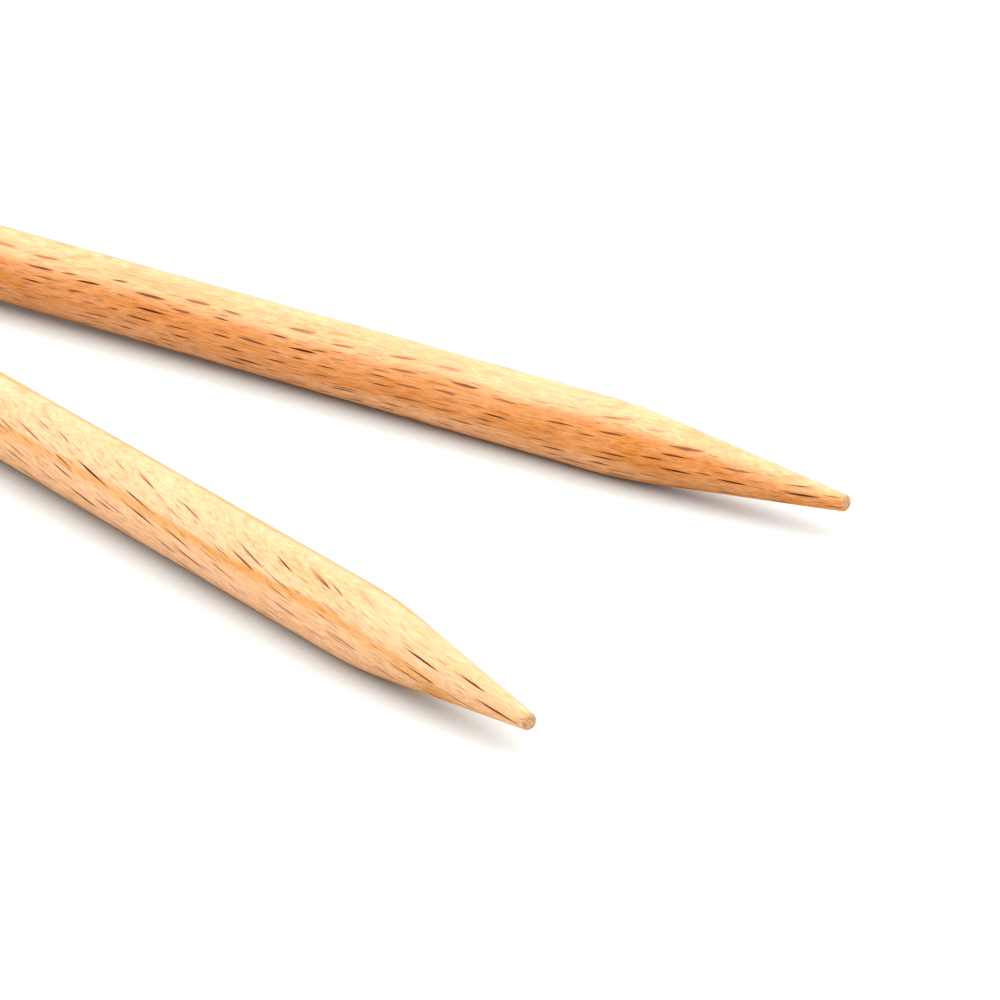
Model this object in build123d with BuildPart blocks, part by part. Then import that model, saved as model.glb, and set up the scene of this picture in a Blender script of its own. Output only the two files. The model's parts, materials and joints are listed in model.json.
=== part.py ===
"""A pair of straight single-pointed knitting needles, turned from beech.

Each needle is two turned pieces. The shaft has a long taper with a blunt tip at one end and a
tenon at the other, and the knob has a blind bore that the tenon is glued into. The two needles
lie on a flat surface with their heads side by side and their tips spread apart. The knob is
wider than the shaft, so a needle rests on its knob and on the shoulder of its taper, and its
axis falls a little towards the tip.

Frame: +X runs from the heads to the tips along the middle of the spread, +Y is towards the back
needle, +Z is up. The origin is the middle of the pair's footprint, on the surface it lies on.
"""

import os
from math import acos, atan2, cos, hypot, radians, sin, sqrt, tan

from build123d import *

# Needle: a 10 mm needle, 250 mm from the knob's end face to the tip
NEEDLE_LENGTH = 250.0
SHAFT_RADIUS = 5.0
TAPER_LENGTH = 35.7
TAPER_END_RADIUS = 1.1
SHOULDER_RADIUS = 108.0
TIP_EDGE_RADIUS = 0.55

# Knob: a ball with a flat end, then a neck, then a collar with rounded edges
KNOB_LENGTH = 13.0
BALL_RADIUS = 6.25
BALL_CENTRE = 5.5
END_EDGE_RADIUS = 0.7
NECK_RADIUS = 4.8
NECK_WIDTH = 0.5
COLLAR_RADIUS = 5.7
COLLAR_BACK_EDGE_RADIUS = 0.75
COLLAR_FRONT_EDGE_RADIUS = 0.65

# Glued joint between the two
TENON_RADIUS = 3.0
TENON_LENGTH = 8.0
TENON_CHAMFER = 0.5
GLUE_GAP = 0.05
BORE_END_GAP = 0.6
BORE_CHAMFER = 0.4
DRILL_POINT_ANGLE = 118.0

# How the pair lies: seen from above, the two axes meet at one point behind the heads
SPREAD_ANGLE = 17.38
BACK_TIP_REACH = 251.9
FRONT_TIP_REACH = 284.6


def rest_tilt():
    """The angle, in radians, by which a needle's axis falls towards the tip when it lies flat.

    The surface touches the ball of the knob and the arc of the shoulder, one on each side of it.
    """
    taper_angle = atan2(SHAFT_RADIUS - TAPER_END_RADIUS, TAPER_LENGTH)
    arc_start = NEEDLE_LENGTH - TAPER_LENGTH - SHOULDER_RADIUS * tan(taper_angle / 2)
    along = arc_start - BALL_CENTRE
    across = SHOULDER_RADIUS - SHAFT_RADIUS
    return acos((SHOULDER_RADIUS - BALL_RADIUS) / hypot(along, across)) - atan2(along, across)


def needle_plane(heading, tip_reach):
    """The upright plane through a needle's axis: its X runs along the axis to the tip, its Y up.

    Its origin is the middle of the knob's end face. heading is the needle's direction from +X,
    in degrees, and tip_reach is how far the tip is from the point where the axes meet.
    """
    heading = radians(heading)
    tilt = rest_tilt()
    head_reach = tip_reach - NEEDLE_LENGTH * cos(tilt)
    head_height = BALL_RADIUS + BALL_CENTRE * sin(tilt)
    return Plane(
        origin=(head_reach * cos(heading), head_reach * sin(heading), head_height),
        x_dir=(cos(tilt) * cos(heading), cos(tilt) * sin(heading), -sin(tilt)),
        z_dir=(sin(heading), -cos(heading), 0),
    )


def turn_shaft(plane, name):
    """The shaft: a rod with a blunt-tipped taper at one end and the knob's tenon at the other."""
    tenon_end = KNOB_LENGTH - TENON_LENGTH
    with BuildPart() as shaft:
        with BuildSketch(plane):
            with BuildLine():
                FilletPolyline(
                    (KNOB_LENGTH, SHAFT_RADIUS),
                    (NEEDLE_LENGTH - TAPER_LENGTH, SHAFT_RADIUS),
                    (NEEDLE_LENGTH, TAPER_END_RADIUS),
                    (NEEDLE_LENGTH, 0),
                    radius=[SHOULDER_RADIUS, TIP_EDGE_RADIUS],
                )
                Polyline(
                    (NEEDLE_LENGTH, 0),
                    (tenon_end, 0),
                    (tenon_end, TENON_RADIUS - TENON_CHAMFER),
                    (tenon_end + TENON_CHAMFER, TENON_RADIUS),
                    (KNOB_LENGTH, TENON_RADIUS),
                    (KNOB_LENGTH, SHAFT_RADIUS),
                )
            make_face()
        revolve(axis=Axis(plane.origin, plane.x_dir))
    shaft.part.label = name
    return shaft.part


def turn_knob(plane, name):
    """The knob: a ball with a flat end, a neck, a collar against the shaft, and a blind bore."""
    bore_radius = TENON_RADIUS + GLUE_GAP
    bore_end = KNOB_LENGTH - TENON_LENGTH - BORE_END_GAP
    drill_point = bore_radius / tan(radians(DRILL_POINT_ANGLE / 2))
    flat_radius = sqrt(BALL_RADIUS**2 - BALL_CENTRE**2)
    neck_start = BALL_CENTRE + sqrt(BALL_RADIUS**2 - NECK_RADIUS**2)
    collar_start = neck_start + NECK_WIDTH
    with BuildPart() as knob:
        with BuildSketch(plane):
            with BuildLine():
                ThreePointArc((0, flat_radius), (BALL_CENTRE, BALL_RADIUS), (neck_start, NECK_RADIUS))
                Line((neck_start, NECK_RADIUS), (collar_start, NECK_RADIUS))
                FilletPolyline(
                    (collar_start, NECK_RADIUS),
                    (collar_start, COLLAR_RADIUS),
                    (KNOB_LENGTH, COLLAR_RADIUS),
                    (KNOB_LENGTH, bore_radius + BORE_CHAMFER),
                    radius=[COLLAR_BACK_EDGE_RADIUS, COLLAR_FRONT_EDGE_RADIUS],
                )
                Polyline(
                    (KNOB_LENGTH, bore_radius + BORE_CHAMFER),
                    (KNOB_LENGTH - BORE_CHAMFER, bore_radius),
                    (bore_end, bore_radius),
                    (bore_end - drill_point, 0),
                    (0, 0),
                    (0, flat_radius),
                )
            make_face()
        revolve(axis=Axis(plane.origin, plane.x_dir))
        flat_rim = knob.edges().filter_by(GeomType.CIRCLE).sort_by_distance(plane.origin)[0]
        fillet(flat_rim, END_EDGE_RADIUS)
    knob.part.label = name
    return knob.part


def turn_pair():
    """The four pieces of the pair, placed about the point where the two axes meet."""
    pieces = []
    for side, heading, tip_reach in (
        ("back", SPREAD_ANGLE / 2, BACK_TIP_REACH),
        ("front", -SPREAD_ANGLE / 2, FRONT_TIP_REACH),
    ):
        plane = needle_plane(heading, tip_reach)
        pieces.append(turn_shaft(plane, f"{side}_shaft"))
        pieces.append(turn_knob(plane, f"{side}_knob"))
    return pieces


def write_pieces(pieces):
    """Move the origin to the middle of the pair's footprint and write one STEP for each piece."""
    os.makedirs("parts", exist_ok=True)
    middle = Compound(pieces).bounding_box().center()
    for piece in pieces:
        piece.move(Location((-middle.X, -middle.Y, 0)))
        export_step(piece, f"parts/{piece.label}.step")
        print(f"{piece.label}: volume {piece.volume:.1f} mm3, {piece.bounding_box()}")


write_pieces(turn_pair())
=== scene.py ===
import json
from math import atan2, ceil, cos, hypot, pi, radians, sin, sqrt, tan

import bpy
from mathutils import Euler, Matrix, Vector, noise


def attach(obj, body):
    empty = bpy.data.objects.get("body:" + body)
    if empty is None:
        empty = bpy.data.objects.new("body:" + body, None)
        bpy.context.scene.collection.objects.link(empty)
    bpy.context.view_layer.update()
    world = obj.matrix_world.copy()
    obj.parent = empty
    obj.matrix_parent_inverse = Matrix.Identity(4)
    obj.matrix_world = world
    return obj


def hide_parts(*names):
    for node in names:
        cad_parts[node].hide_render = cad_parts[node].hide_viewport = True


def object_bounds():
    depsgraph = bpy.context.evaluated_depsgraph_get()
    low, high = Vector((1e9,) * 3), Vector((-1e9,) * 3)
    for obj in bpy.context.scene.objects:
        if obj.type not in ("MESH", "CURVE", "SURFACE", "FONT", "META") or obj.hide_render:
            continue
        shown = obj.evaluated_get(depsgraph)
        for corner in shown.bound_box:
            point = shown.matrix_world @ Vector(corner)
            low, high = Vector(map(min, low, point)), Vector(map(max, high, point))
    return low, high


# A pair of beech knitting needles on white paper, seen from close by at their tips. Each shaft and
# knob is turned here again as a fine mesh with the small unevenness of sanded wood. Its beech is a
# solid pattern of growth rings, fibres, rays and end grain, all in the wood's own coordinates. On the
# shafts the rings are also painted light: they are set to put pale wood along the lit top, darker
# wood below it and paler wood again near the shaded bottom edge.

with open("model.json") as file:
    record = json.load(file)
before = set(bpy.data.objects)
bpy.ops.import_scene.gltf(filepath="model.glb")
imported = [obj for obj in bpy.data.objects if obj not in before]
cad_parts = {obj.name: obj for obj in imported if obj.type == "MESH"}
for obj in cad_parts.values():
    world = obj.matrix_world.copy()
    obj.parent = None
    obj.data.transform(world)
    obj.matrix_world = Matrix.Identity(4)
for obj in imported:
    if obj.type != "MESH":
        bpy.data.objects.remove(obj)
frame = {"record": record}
cad_low, cad_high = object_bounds()

MM = 0.001

# Turned shapes, in millimetres, as the CAD has them
KNOB_LENGTH = 13.0
TAPER_LENGTH = 35.7
TAPER_END_RADIUS = 1.1
SHOULDER_RADIUS = 108.0
TIP_EDGE_RADIUS = 0.55
BALL_RADIUS = 6.25
BALL_CENTRE = 5.5
END_EDGE_RADIUS = 0.7
NECK_RADIUS = 4.8
NECK_WIDTH = 0.5
COLLAR_RADIUS = 5.7
COLLAR_BACK_EDGE_RADIUS = 0.75
COLLAR_FRONT_EDGE_RADIUS = 0.65
TENON_RADIUS = 3.0
TENON_LENGTH = 8.0
TENON_CHAMFER = 0.5
GLUE_GAP = 0.05
BORE_END_GAP = 0.6
BORE_CHAMFER = 0.4
DRILL_POINT_ANGLE = 118.0

# Mesh density: segments round a piece, millimetres along it, and the turn between rings at an edge
SEGMENTS = 144
RING_STEP = 0.8
EDGE_STEP = radians(9)
BALL_STEP = radians(3)
SHOULDER_STEP = radians(0.25)
SHARP_ANGLE = radians(38)

# Sanding leaves wood a little uneven, and the tip is worn: depths and lengths in millimetres.
# SANDING_CELLS_ROUND is the radius, in the pattern's cells, at which it is read round a piece, and
# MOST_SANDED_OFF is a share of the piece's radius.
SANDING_DEPTH = 0.035
SANDING_LENGTH = 14.0
SANDING_CELLS_ROUND = 0.8
TIP_WEAR_DEPTH = 0.06
TIP_WEAR_REACH = 4.8
TIP_WEAR_CELL = 0.9
MOST_SANDED_OFF = 0.3


# ---------------------------------------------------------------------------------------------
# Where each needle lies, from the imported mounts
# ---------------------------------------------------------------------------------------------

def mount(name):
    """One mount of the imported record."""
    return next(m for m in frame["record"]["mounts"] if m["name"] == name)


def needle_place(side):
    """(placement, length in mm, shaft radius in mm) of a needle.

    The placement's origin is the middle of the knob's end, its X runs to the tip and its Z is the
    upward side of the shaft.
    """
    head = Vector(mount(f"{side}_head_end")["pos_m"])
    tip = Vector(mount(f"{side}_point")["pos_m"])
    x_axis = (tip - head).normalized()
    y_axis = Vector((0, 0, 1)).cross(x_axis).normalized()
    z_axis = x_axis.cross(y_axis)
    turn = Matrix((x_axis, y_axis, z_axis)).transposed().to_4x4()
    radius = mount(f"{side}_shaft_pin")["dims"]["r_mm"]
    return Matrix.Translation(head) @ turn, (tip - head).length / MM, radius


# ---------------------------------------------------------------------------------------------
# Turned meshes
# ---------------------------------------------------------------------------------------------

def stretch(start, end):
    """Points from start to end, without end, about one ring's step apart."""
    along, off = end[0] - start[0], end[1] - start[1]
    count = max(1, ceil(hypot(along, off) / RING_STEP))
    return [(start[0] + along * i / count, start[1] + off * i / count) for i in range(count)]


def arc(centre, radius, start, end, step=EDGE_STEP):
    """The points of an arc, from angle start to angle end."""
    count = max(2, ceil(abs(end - start) / step))
    angles = [start + (end - start) * i / count for i in range(count + 1)]
    return [(centre[0] + radius * cos(a), centre[1] + radius * sin(a)) for a in angles]


def corner_arc(before, corner, after, radius, step=EDGE_STEP):
    """The points of an arc that rounds a corner of the profile with this radius."""
    back = Vector(before) - Vector(corner)
    ahead = Vector(after) - Vector(corner)
    back.normalize()
    ahead.normalize()
    half_angle = back.angle(ahead) / 2
    centre = Vector(corner) + (back + ahead).normalized() * radius / sin(half_angle)
    start = Vector(corner) + back * radius / tan(half_angle) - centre
    end = Vector(corner) + ahead * radius / tan(half_angle) - centre
    sweep = start.angle_signed(end)
    count = max(2, ceil(abs(sweep) / step))
    return [tuple(centre + Matrix.Rotation(-sweep * i / count, 2) @ start) for i in range(count + 1)]


def filled(corners):
    """A profile with more points along each straight run between its corners."""
    points = []
    for start, end in zip(corners, corners[1:]):
        points += stretch(start, end)
    return points + [corners[-1]]


def shaft_profile(length, radius):
    """(along, off the axis) of a shaft, in mm, from the middle of its tenon's end to its tip."""
    tenon_end = KNOB_LENGTH - TENON_LENGTH
    seat = (KNOB_LENGTH, radius)
    shoulder = (length - TAPER_LENGTH, radius)
    rim = (length, TAPER_END_RADIUS)
    tip = (length, 0.0)
    corners = [
        (tenon_end, 0.0),
        (tenon_end, TENON_RADIUS - TENON_CHAMFER),
        (tenon_end + TENON_CHAMFER, TENON_RADIUS),
        (KNOB_LENGTH, TENON_RADIUS),
        seat,
        *corner_arc(seat, shoulder, rim, SHOULDER_RADIUS, SHOULDER_STEP),
        *corner_arc(shoulder, rim, tip, TIP_EDGE_RADIUS),
        tip,
    ]
    return filled(corners)


def knob_profile():
    """(along, off the axis) of a knob, in mm, from the middle of its end face round to its bore."""
    bore_radius = TENON_RADIUS + GLUE_GAP
    bore_end = KNOB_LENGTH - TENON_LENGTH - BORE_END_GAP
    drill_point = bore_end - bore_radius / tan(radians(DRILL_POINT_ANGLE / 2))
    neck_start = BALL_CENTRE + sqrt(BALL_RADIUS**2 - NECK_RADIUS**2)
    collar_start = neck_start + NECK_WIDTH
    # the rim's rounding touches both the flat end and the ball
    rim_height = sqrt((BALL_RADIUS - END_EDGE_RADIUS) ** 2 - (BALL_CENTRE - END_EDGE_RADIUS) ** 2)
    ball_start = atan2(rim_height, END_EDGE_RADIUS - BALL_CENTRE)
    ball_end = atan2(NECK_RADIUS, neck_start - BALL_CENTRE)
    rim = arc((END_EDGE_RADIUS, rim_height), END_EDGE_RADIUS, pi, ball_start)
    ball = arc((BALL_CENTRE, 0.0), BALL_RADIUS, ball_start, ball_end, BALL_STEP)
    collar_back = (collar_start, COLLAR_RADIUS)
    collar_front = (KNOB_LENGTH, COLLAR_RADIUS)
    neck = (collar_start, NECK_RADIUS)
    seat = (KNOB_LENGTH, bore_radius + BORE_CHAMFER)
    corners = [
        (0.0, 0.0),
        *rim,
        *ball,
        neck,
        *corner_arc(neck, collar_back, collar_front, COLLAR_BACK_EDGE_RADIUS),
        *corner_arc(collar_back, collar_front, seat, COLLAR_FRONT_EDGE_RADIUS),
        seat,
        (KNOB_LENGTH - BORE_CHAMFER, bore_radius),
        (bore_end, bore_radius),
        (drill_point, 0.0),
    ]
    return filled(corners)


def sanded_off(along, angle, radius, length, seed):
    """How much sanding took off the surface at one place, in mm."""
    around = Vector((0.0, cos(angle), sin(angle)))
    place = Vector((along / SANDING_LENGTH, 0.0, seed)) + around * SANDING_CELLS_ROUND
    depth = SANDING_DEPTH * (0.5 + 0.5 * noise.noise(place))
    to_tip = length - along
    if to_tip < TIP_WEAR_REACH:
        place = Vector((along / TIP_WEAR_CELL, 0.0, seed)) + around * radius / TIP_WEAR_CELL
        depth += TIP_WEAR_DEPTH * (0.5 + 0.5 * noise.noise(place)) * (1 - to_tip / TIP_WEAR_REACH)
    return min(depth, MOST_SANDED_OFF * radius)


def lathe(name, profile, placement, length, seed):
    """A closed mesh turned from a profile about the needle's axis, in place in the row frame."""
    vertices, rings = [], []
    for along, radius in profile:
        if radius == 0.0:
            rings.append([len(vertices)])
            vertices.append((along, 0.0, 0.0))
            continue
        first = len(vertices)
        for i in range(SEGMENTS):
            angle = 2 * pi * i / SEGMENTS
            worn = radius - sanded_off(along, angle, radius, length, seed)
            vertices.append((along, worn * cos(angle), worn * sin(angle)))
        rings.append(list(range(first, first + SEGMENTS)))
    faces = []
    for ring, following in zip(rings, rings[1:]):
        for i in range(SEGMENTS):
            j = (i + 1) % SEGMENTS
            if len(ring) == 1:
                faces.append((ring[0], following[j], following[i]))
            elif len(following) == 1:
                faces.append((ring[i], ring[j], following[0]))
            else:
                faces.append((ring[i], ring[j], following[j], following[i]))
    mesh = bpy.data.meshes.new(name)
    mesh.from_pydata([placement @ (Vector(v) * MM) for v in vertices], [], faces)
    mesh.validate()
    mesh.shade_smooth()
    mesh.set_sharp_from_angle(angle=SHARP_ANGLE)
    piece = bpy.data.objects.new(name, mesh)
    bpy.context.scene.collection.objects.link(piece)
    return piece


# ---------------------------------------------------------------------------------------------
# Beech
# ---------------------------------------------------------------------------------------------

class Graph:
    """Short calls for adding nodes to a material. A value is a number, a tuple or a socket."""

    def __init__(self, material):
        self.tree = material.node_tree
        self.tree.nodes.clear()

    def add(self, kind, inputs=None, **settings):
        """A node with its settings, and its inputs by name or number."""
        made = self.tree.nodes.new("ShaderNode" + kind)
        for name, value in settings.items():
            setattr(made, name, value)
        for key, value in (inputs or {}).items():
            if isinstance(value, bpy.types.NodeSocket):
                self.tree.links.new(value, made.inputs[key])
            else:
                made.inputs[key].default_value = value
        return made

    def math(self, operation, *values, clamp=False):
        """A Math node's result."""
        return self.add("Math", dict(enumerate(values)), operation=operation, use_clamp=clamp).outputs[0]

    def vector(self, operation, *values):
        """A Vector Math node's vector result."""
        return self.add("VectorMath", dict(enumerate(values)), operation=operation).outputs["Vector"]

    def dot(self, a, b):
        """The dot product of two vectors."""
        return self.add("VectorMath", {0: a, 1: b}, operation="DOT_PRODUCT").outputs["Value"]

    def noise(self, place, cells, detail=2.0, roughness=0.5, output="Fac"):
        """A Noise Texture with this many cells in a millimetre each way."""
        inputs = {"Vector": self.vector("MULTIPLY", place, cells), "Scale": 1.0}
        inputs.update({"Detail": detail, "Roughness": roughness})
        return self.add("TexNoise", inputs).outputs[output]

    def smooth(self, value, low, high, to_low=0.0, to_high=1.0, kind="SMOOTHSTEP"):
        """value taken smoothly from low..high to to_low..to_high, and no further."""
        inputs = {"Value": value, "From Min": low, "From Max": high, "To Min": to_low, "To Max": to_high}
        return self.add("MapRange", inputs, interpolation_type=kind, clamp=True).outputs["Result"]

    def linear(self, value, low, high, to_low=0.0, to_high=1.0):
        """value taken evenly from low..high to to_low..to_high, and no further."""
        return self.smooth(value, low, high, to_low, to_high, kind="LINEAR")

    def spread(self, fac, low, high):
        """A noise, which mostly stays between 0.3 and 0.7, taken to low..high."""
        return self.linear(fac, 0.3, 0.7, low, high)

    def mix(self, factor, a, b, blend="MIX"):
        """Two colours mixed."""
        made = self.add("Mix", {0: factor, 6: a, 7: b}, data_type="RGBA", blend_type=blend)
        return made.outputs[2]


def colour(red, green, blue):
    """A display colour, 0 to 1, as the linear colour that shaders take."""
    display = (red, green, blue)
    linear = [c / 12.92 if c <= 0.04045 else ((c + 0.055) / 1.055) ** 2.4 for c in display]
    return (*linear, 1.0)


# Display colours of the marks in the wood
RAY = colour(0.27, 0.08, 0.02)
FLECK = colour(0.78, 0.54, 0.40)
STAIN = colour(0.68, 0.39, 0.16)
END_GRAIN = colour(0.77, 0.60, 0.46)
PORE = colour(0.44, 0.33, 0.28)

# Cells of each pattern in a millimetre: along the grain, across it, and out along the rays
HAIR_CELLS = (0.45, 4.8, 4.8)
PATCH_CELLS = (0.35, 1.8, 1.8)
STREAK_CELLS = (0.06, 0.9, 0.7)
CLOUD_CELLS = (0.035, 0.18, 0.18)
WANDER_CELLS = (0.03, 0.06, 0.06)
RAGGED_CELLS = (0.3, 1.4, 1.4)
GATHERING_CELLS = (0.05, 0.25, 0.25)
PORE_CELLS = (0.4, 4.0, 4.0)
WORN_CELLS = (0.9, 1.1, 1.1)

# Millimetres: where along a needle the wood's coordinates start, and how far it and its rings wander
SAWN_FROM = 195.0
WANDER_REACH = (0.0, 1.8, 1.2)
RAGGED_REACH = 0.6

# Shares: of the late wood that is still darkening, and of the year before it turns pale again
DARKENING_SHARE = 0.4
PALE_AGAIN_FROM = 0.86

# Rays: lengths in millimetres, and shares for how they vary and how strongly they show. The large
# ones are LARGE_RAY_SPACING of their own half lengths apart, along the grain.
LARGE_RAY_SPACING = 3.3
LARGE_RAY_ROW = 1.2
LARGE_RAY_DEPTH = 15.0
SMALL_RAY_CELL = (5.0, 0.8, 8.0)
SMALL_RAY_HALVES = (1.5, 0.06)
SMALL_RAY_SHIFT = (31.0, 17.0, 5.0)
RAY_SCATTER = 0.8
RAY_SIZES = (0.5, 1.1)
RAY_STRENGTHS = (0.75, 1.0)
SMALL_RAY_STRENGTH = 0.46
SMALL_STAIN_STRENGTH = 0.4
STAIN_STRENGTH = 0.22
FLECK_STRENGTH = 0.35

# Where a ray and its stain fade out, with 1 as the ray's outline, and how near its cell's border
RAY_EDGE = (1.1, 0.85)
STAIN_EDGE = (3.6, 0.8)
CELL_EDGE = (0.01, 0.08)

# Surface: the bump is BUMP_HEIGHT millimetres, times what a fibre adds to it or a ray takes away
ROUGHNESS = (0.66, 0.54)
RAY_ROUGHER = 0.12
BUMP_STRENGTH = 0.35
BUMP_HEIGHT = 0.05
FIBRE_RAISED = 0.5
RAY_SUNKEN = 0.8


def wood_place(graph, placement, look):
    """(place, normal) of a point in the wood: along the grain, across it, and out along the rays.

    The place is in mm, and wanders a little along the needle.
    """
    sawn = placement @ Matrix.Translation((SAWN_FROM * MM, 0, 0))
    sawn = sawn @ Euler((radians(look["spin"]), 0, 0)).to_matrix().to_4x4()
    sawn = sawn @ Euler((0, radians(look["dive"]), 0)).to_matrix().to_4x4()
    turn = {"Rotation": sawn.to_euler()}
    into_wood = {"Location": sawn.translation, "Scale": (MM, MM, MM), **turn}
    seen = graph.add("TexCoord")
    place = graph.add("Mapping", {"Vector": seen.outputs["Object"], **into_wood}, vector_type="TEXTURE")
    facing = graph.add("Mapping", {"Vector": seen.outputs["Normal"], **turn}, vector_type="TEXTURE")
    place = graph.vector("ADD", place.outputs[0], look["from"])
    wander = graph.noise(place, WANDER_CELLS, detail=1.0, output="Color")
    wander = graph.vector("SUBTRACT", wander, (0.5, 0.5, 0.5))
    place = graph.vector("ADD", place, graph.vector("MULTIPLY", wander, WANDER_REACH))
    return place, graph.vector("NORMALIZE", facing.outputs[0])


def rings_and_painted_light(graph, place, look):
    """How dark the year's growth makes the wood, 0 to 1, in rings round a pith beside the needle.

    The wood darkens over the last part of each year's growth, and is pale again as the year ends.
    On the shafts the rings are painted light as well as grain: they put pale early wood on the lit
    top, dark late wood below it, and with this paling paler wood near the shaded bottom edge.
    """
    turn = radians(look["ring_turn"])
    axis_from_pith = Vector((0.0, sin(turn), cos(turn))) * look["pith_distance"]
    from_pith = graph.vector("ADD", place, axis_from_pith - Vector(look["from"]))
    from_pith = graph.vector("MULTIPLY", from_pith, (0.0, 1.0, 1.0))
    out = graph.add("VectorMath", {0: from_pith}, operation="LENGTH").outputs["Value"]
    ragged = graph.noise(place, RAGGED_CELLS, detail=3.0, roughness=0.6)
    out = graph.math("ADD", out, graph.math("MULTIPLY", ragged, RAGGED_REACH))
    year = graph.math("FRACT", graph.math("DIVIDE", out, look["ring_width"]))
    late_from = 1.0 - look["late_share"]
    late = graph.smooth(year, late_from, late_from + DARKENING_SHARE * look["late_share"])
    # the paling as the year ends, which on the shafts is painted light: paler wood near the shaded
    # bottom edge
    return graph.math("MULTIPLY", late, graph.smooth(year, 1.0, PALE_AGAIN_FROM))


def plain_wood(graph, place, grain, hairs, look):
    """The wood between the rays: the year's rings, broad streaks, short soft patches and fine hairs.

    On the shafts the rings are painted light as well: pale on the lit top, darker below it and
    paler again near the shaded bottom edge.
    """
    streaks = graph.noise(grain, STREAK_CELLS, detail=3.0)
    patches = graph.noise(grain, PATCH_CELLS, detail=3.0, roughness=0.6)
    cloud = graph.noise(place, CLOUD_CELLS, detail=1.0)
    # the rings' tone: grain, and on the shafts painted light too, pale on the lit top and paler again
    # near the shaded bottom
    tone = graph.linear(rings_and_painted_light(graph, place, look), 0.0, 1.0, 0.2, 0.75)
    tone = graph.math("ADD", tone, graph.spread(streaks, -0.12, 0.12))
    tone = graph.math("ADD", tone, graph.spread(patches, -0.12, 0.12))
    tone = graph.math("ADD", tone, graph.spread(cloud, -0.1, 0.1), clamp=True)
    wood = graph.mix(tone, look["early"], look["late"])
    shade = graph.spread(hairs, 0.76, 1.17)
    shade = graph.add("CombineColor", {0: shade, 1: shade, 2: shade}).outputs[0]
    return graph.mix(1.0, wood, shade, "MULTIPLY")


def ray_flecks(graph, grain, cell, half_length, half_width):
    """The cut ends of the wood's rays: (mask, stain), thin spindles along the grain and round them.

    cell is the mean spacing each way, in mm. A ray is a ribbon that runs far along the third way.
    One that its cell's border would cut off is faded out.
    """
    cells = graph.vector("DIVIDE", grain, cell)
    pattern = {"Vector": cells, "Scale": 1.0, "Randomness": RAY_SCATTER}
    nearest = graph.add("TexVoronoi", pattern)
    border = graph.add("TexVoronoi", pattern, feature="DISTANCE_TO_EDGE").outputs["Distance"]
    offset = graph.vector("SUBTRACT", cells, nearest.outputs["Position"])
    offset = graph.add("SeparateXYZ", {0: graph.vector("MULTIPLY", offset, cell)})
    own = graph.add("SeparateColor", {0: nearest.outputs["Color"]})
    size = graph.linear(own.outputs[0], 0.0, 1.0, *RAY_SIZES)
    along = graph.math("DIVIDE", offset.outputs[0], graph.math("MULTIPLY", size, half_length))
    across = graph.math("DIVIDE", graph.math("ABSOLUTE", offset.outputs[1]), half_width)
    across = graph.math("DIVIDE", across, size)
    outline = graph.math("ADD", graph.math("MULTIPLY", along, along), across)
    strength = graph.linear(own.outputs[1], 0.0, 0.6, *RAY_STRENGTHS)
    strength = graph.math("MULTIPLY", strength, graph.smooth(border, *CELL_EDGE))
    mask = graph.math("MULTIPLY", graph.smooth(outline, *RAY_EDGE), strength)
    stain = graph.math("MULTIPLY", graph.smooth(outline, *STAIN_EDGE), strength)
    return mask, stain


def all_rays(graph, place, grain, look):
    """(mask, stain) of the large rays, which gather here and there, and the small ones between."""
    half_length, half_width = look["large_rays"]
    cell = (LARGE_RAY_SPACING * half_length, LARGE_RAY_ROW, LARGE_RAY_DEPTH)
    large, large_stain = ray_flecks(graph, grain, cell, half_length, half_width)
    gathered = graph.noise(place, GATHERING_CELLS, detail=1.0)
    gathered = graph.linear(gathered, 0.35, 0.55, 0.55, 1.0)
    large = graph.math("MULTIPLY", large, gathered)
    large_stain = graph.math("MULTIPLY", large_stain, gathered)
    shifted = graph.vector("ADD", grain, SMALL_RAY_SHIFT)
    small, small_stain = ray_flecks(graph, shifted, SMALL_RAY_CELL, *SMALL_RAY_HALVES)
    small = graph.math("MULTIPLY", small, SMALL_RAY_STRENGTH)
    small_stain = graph.math("MULTIPLY", small_stain, SMALL_STAIN_STRENGTH)
    return graph.math("MAXIMUM", large, small), graph.math("MAXIMUM", large_stain, small_stain)


def with_rays(graph, wood, rays, stain, facing_rays):
    """The wood with its rays: dark dashes where the face cuts across them, and paler, pinkish flecks
    where it runs along them.
    """
    cut_across = graph.smooth(facing_rays, 0.25, 0.7)
    wood = graph.mix(graph.math("MULTIPLY", stain, STAIN_STRENGTH), wood, STAIN)
    ray = graph.mix(cut_across, FLECK, RAY)
    strength = graph.linear(cut_across, 0.0, 1.0, FLECK_STRENGTH, 1.0)
    return graph.mix(graph.math("MULTIPLY", rays, strength), wood, ray)


def with_end_grain(graph, wood, grain, end_on):
    """The wood with its end grain, which is a little darker and greyer, in patches, with pores."""
    pores = graph.noise(grain, PORE_CELLS, detail=3.0, roughness=0.7)
    end_wood = graph.mix(graph.linear(pores, 0.42, 0.64), END_GRAIN, PORE)
    worn = graph.linear(graph.noise(grain, WORN_CELLS), 0.38, 0.6, 0.25, 0.95)
    return graph.mix(graph.math("MULTIPLY", graph.smooth(end_on, 0.35, 0.85), worn), wood, end_wood)


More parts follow.
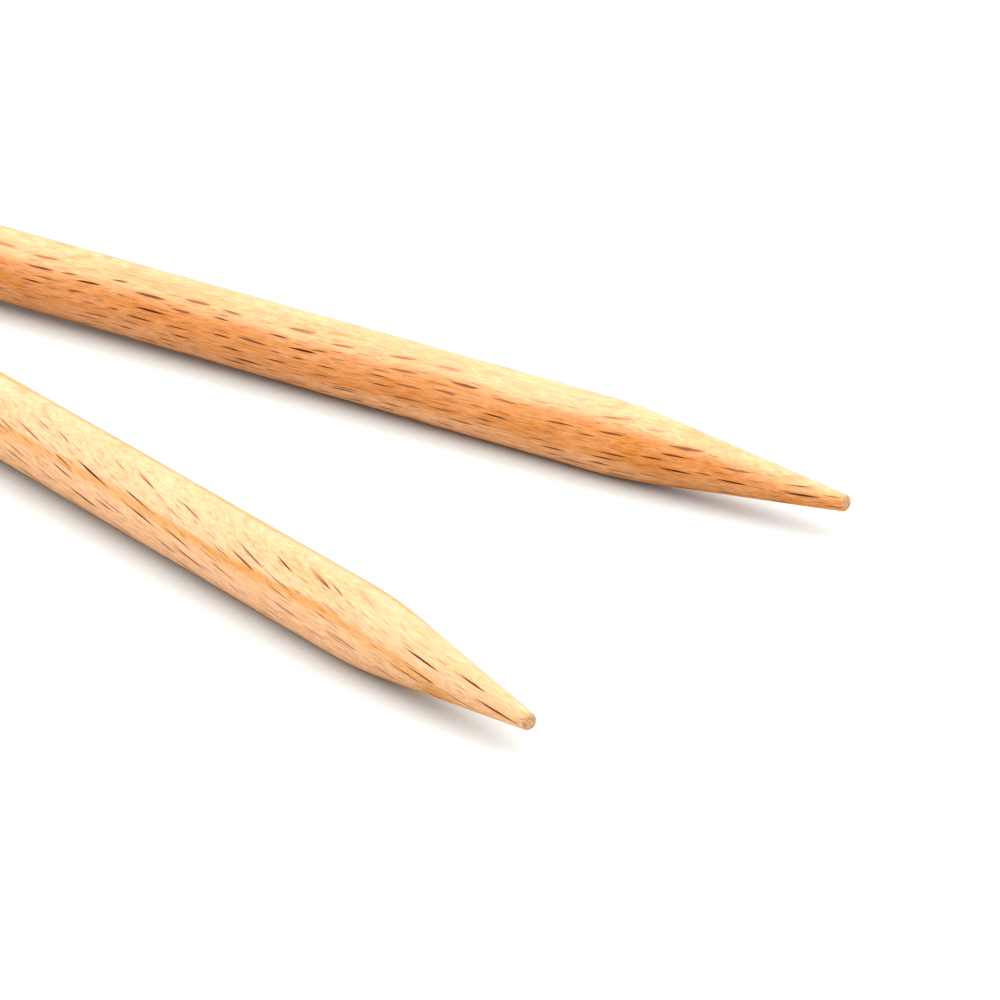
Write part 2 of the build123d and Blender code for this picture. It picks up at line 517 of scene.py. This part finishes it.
def beech(name, placement, look):
    """Dull, sanded beech. placement is the needle's, and look says how its wood was sawn."""
    material = bpy.data.materials.new(name)
    material.use_nodes = True
    graph = Graph(material)
    place, facing = wood_place(graph, placement, look)
    facing = graph.add("SeparateXYZ", {0: facing})
    end_on = graph.math("ABSOLUTE", facing.outputs[0])
    facing_rays = graph.math("ABSOLUTE", facing.outputs[2])

    # the fibres and rays spiral round the needle, and the rings don't
    spiral = {"Rotation": (0.0, 0.0, radians(look["slope"]))}
    grain = graph.add("Mapping", {"Vector": place, **spiral}, vector_type="TEXTURE").outputs[0]
    hairs = graph.noise(grain, HAIR_CELLS, detail=2.0, roughness=0.75)
    rays, stain = all_rays(graph, place, grain, look)
    wood = plain_wood(graph, place, grain, hairs, look)
    wood = with_rays(graph, wood, rays, stain, facing_rays)
    wood = with_end_grain(graph, wood, grain, end_on)

    rough = graph.spread(hairs, *ROUGHNESS)
    rough = graph.math("ADD", rough, graph.math("MULTIPLY", rays, RAY_ROUGHER))
    raised = graph.math("MULTIPLY", hairs, FIBRE_RAISED)
    height = graph.math("SUBTRACT", raised, graph.math("MULTIPLY", rays, RAY_SUNKEN))
    bump = {"Strength": BUMP_STRENGTH, "Distance": BUMP_HEIGHT * MM, "Height": height}
    bump = graph.add("Bump", bump).outputs["Normal"]
    shader = graph.add("BsdfPrincipled", {
        "Base Color": wood, "Roughness": rough, "Normal": bump,
        "Specular IOR Level": 0.12, "IOR": 1.5,
    })
    graph.add("OutputMaterial", {"Surface": shader.outputs[0]})
    return material


# ---------------------------------------------------------------------------------------------
# The needles
# ---------------------------------------------------------------------------------------------

# How each piece was sawn and what its wood is like, in degrees and millimetres. spin turns the rays
# about the piece's axis, dive and slope tip the grain from it, and from is a place in the tree. The
# pith is pith_distance from the axis, ring_turn from the rays. late_share is the dark part of a
# ring_width, large_rays are a half length and a half width, and seed moves the sanding's pattern.
# On the two shafts, spin, ring_turn and pith_distance also paint the light with the rings: pale
# early wood along the lit top, dark late wood below it and paler wood again near the shaded bottom.
LOOKS = {
    "back_shaft": {
        "slot": "warm_beech",
        "seed": 3.7,
        "spin": 94.0,
        "dive": 0.3,
        "slope": 1.5,
        "from": (40.0, 3.0, 9.0),
        "ring_turn": -41.0,
        "pith_distance": 60.35,
        "ring_width": 11.0,
        "late_share": 0.52,
        "large_rays": (2.8, 0.135),
        "early": colour(0.89, 0.68, 0.505),
        "late": colour(0.73, 0.43, 0.13),
    },
    "front_shaft": {
        "slot": "pale_beech",
        "seed": 11.2,
        "spin": 84.0,
        "dive": 0.3,
        "slope": -6.5,
        "from": (0.0, 0.0, 0.0),
        "ring_turn": -36.0,
        "pith_distance": 51.7,
        "ring_width": 7.0,
        "late_share": 0.24,
        "large_rays": (4.0, 0.11),
        "early": colour(0.87, 0.68, 0.525),
        "late": colour(0.77, 0.51, 0.21),
    },
    "back_knob": {
        "slot": "knob_beech",
        "seed": 23.0,
        "spin": 20.0,
        "dive": 2.0,
        "slope": 1.0,
        "from": (90.0, 33.0, 4.0),
        "ring_turn": 0.0,
        "pith_distance": 58.0,
        "ring_width": 2.4,
        "late_share": 0.5,
        "large_rays": (3.3, 0.14),
        "early": colour(0.89, 0.68, 0.52),
        "late": colour(0.76, 0.48, 0.20),
    },
    "front_knob": {
        "slot": "knob_beech",
        "seed": 31.0,
        "spin": -100.0,
        "dive": -1.5,
        "slope": 2.0,
        "from": (150.0, 60.0, 21.0),
        "ring_turn": 0.0,
        "pith_distance": 87.0,
        "ring_width": 2.8,
        "late_share": 0.5,
        "large_rays": (3.3, 0.14),
        "early": colour(0.88, 0.68, 0.53),
        "late": colour(0.76, 0.49, 0.21),
    },
}


def turn_needle(side):
    """One needle's shaft and knob, each in its own beech, in the place of their CAD nodes."""
    placement, length, radius = needle_place(side)
    profiles = {"shaft": shaft_profile(length, radius), "knob": knob_profile()}
    for part, profile in profiles.items():
        node = f"{side}_{part}"
        look = LOOKS[node]
        piece = lathe(f"turned_{node}", profile, placement, length, look["seed"])
        piece.data.materials.append(beech(f"beech_{node}", placement, look))
        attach(piece, f"{side}_needle")
        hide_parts(node)


turn_needle("front")
turn_needle("back")


# ---------------------------------------------------------------------------------------------
# Floor, light and camera
# ---------------------------------------------------------------------------------------------

# Lengths in metres, the lens and its sensor in millimetres, and the lamp's power in watts. The
# paper's colour is linear, and the room's light takes all of it that isn't in shade to pure white.
FLOOR_HALF = 60.0
PAPER_WHITE = (0.57, 0.585, 0.573, 1.0)
SKY_MIDDLE = Vector((-0.20, 0.10, 1.0))
SKY_LOW = 1.35
SKY_HIGH = 2.65
LAMP_POWER = 1.0
LAMP_DISTANCE = 0.95
LAMP_WIDTH = 0.9
LAMP_DEPTH = 0.6
VIEW_AZIMUTH = radians(49.29)
VIEW_ELEVATION = radians(19.50)
VIEW_DISTANCE = 1.1119
VIEW_FROM_FRONT_TIP = Vector((-0.0615, 0.0482))
VIEW_HEIGHT = 0.005
LENS = 316.1
SENSOR = 36.0


def make_floor():
    """A wide sheet of white paper, level with the bottom of the needles."""
    mesh = bpy.data.meshes.new("paper")
    corners = [(-1, -1), (1, -1), (1, 1), (-1, 1)]
    corners = [(x * FLOOR_HALF, y * FLOOR_HALF, cad_low.z) for x, y in corners]
    mesh.from_pydata(corners, [], [(0, 1, 2, 3)])
    floor = bpy.data.objects.new("paper", mesh)
    bpy.context.scene.collection.objects.link(floor)
    material = bpy.data.materials.new("white_paper")
    material.use_nodes = True
    graph = Graph(material)
    shader = graph.add("BsdfPrincipled", {
        "Base Color": PAPER_WHITE, "Roughness": 0.9, "Specular IOR Level": 0.1,
    })
    graph.add("OutputMaterial", {"Surface": shader.outputs[0]})
    mesh.materials.append(material)


def make_light():
    """A white room that is brightest high up behind the needles, and one large soft lamp up there."""
    world = bpy.data.worlds.new("white_room")
    world.use_nodes = True
    graph = Graph(world)
    direction = graph.add("TexCoord").outputs["Generated"]
    high_up = graph.dot(direction, SKY_MIDDLE.normalized())
    light = graph.smooth(high_up, 0.0, 1.0, SKY_LOW, SKY_HIGH)
    seen = graph.add("LightPath").outputs["Is Camera Ray"]
    strength = graph.add("Mix", {0: seen, 2: light, 3: 1.0}).outputs[0]
    background = graph.add("Background", {"Color": (1.0, 1.0, 1.0, 1.0), "Strength": strength})
    graph.add("OutputWorld", {"Surface": background.outputs[0]})
    bpy.context.scene.world = world
    lamp = bpy.data.lights.new("softbox", "AREA")
    lamp.shape = "RECTANGLE"
    lamp.size = LAMP_WIDTH
    lamp.size_y = LAMP_DEPTH
    lamp.energy = LAMP_POWER
    softbox = bpy.data.objects.new("softbox", lamp)
    bpy.context.scene.collection.objects.link(softbox)
    softbox.location = SKY_MIDDLE.normalized() * LAMP_DISTANCE
    softbox.rotation_euler = (-softbox.location).to_track_quat("-Z", "Y").to_euler()


def make_camera():
    """A long lens, low over the tips, at the photograph's angle."""
    tip = Vector(mount("front_point")["pos_m"])
    target = Vector((tip.x + VIEW_FROM_FRONT_TIP.x, tip.y + VIEW_FROM_FRONT_TIP.y, VIEW_HEIGHT))
    back = Vector((
        sin(VIEW_AZIMUTH) * cos(VIEW_ELEVATION),
        -cos(VIEW_AZIMUTH) * cos(VIEW_ELEVATION),
        sin(VIEW_ELEVATION),
    ))
    data = bpy.data.cameras.new("camera")
    data.lens = LENS
    data.sensor_width = SENSOR
    data.clip_start = 0.01
    data.clip_end = 200.0
    camera = bpy.data.objects.new("camera", data)
    bpy.context.scene.collection.objects.link(camera)
    camera.location = target + back * VIEW_DISTANCE
    camera.rotation_euler = (-back).to_track_quat("-Z", "Y").to_euler()
    bpy.context.scene.camera = camera


make_floor()
make_light()
make_camera()
bpy.context.scene.view_settings.view_transform = "Standard"
